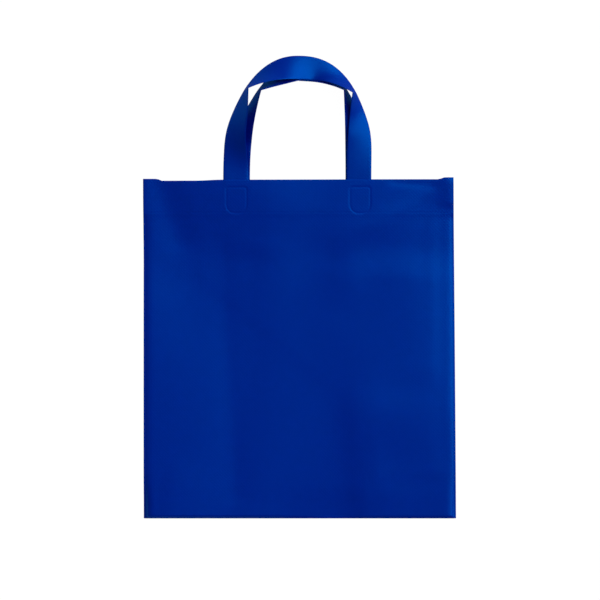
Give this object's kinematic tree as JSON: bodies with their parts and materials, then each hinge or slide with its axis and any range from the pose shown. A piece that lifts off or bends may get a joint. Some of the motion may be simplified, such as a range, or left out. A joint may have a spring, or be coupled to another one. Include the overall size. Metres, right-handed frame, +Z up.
{
  "type": "non-woven tote bag",
  "caption": "Flat reusable tote bag of spunbond cloth with a folded hem, welded sides and two loop handles, lying on its back.",
  "frame": {"origin": "middle of the footprint of bag and handles, on the surface that the bag lies on", "axes": "+X across the bag to the right seen from the front, +Y from the bottom fold to the handles, +Z up out of the front panel"},
  "size_m": [0.36, 0.5357, 0.0312],
  "materials": {
    "body_cloth": "matte spunbond polypropylene, royal blue",
    "strap": "pressed flat strap of spunbond polypropylene, royal blue"
  },
  "bodies": {
    "root": {"bag_body": "body_cloth", "front_handle": "strap", "back_handle": "strap"}
  },
  "joints": []
}
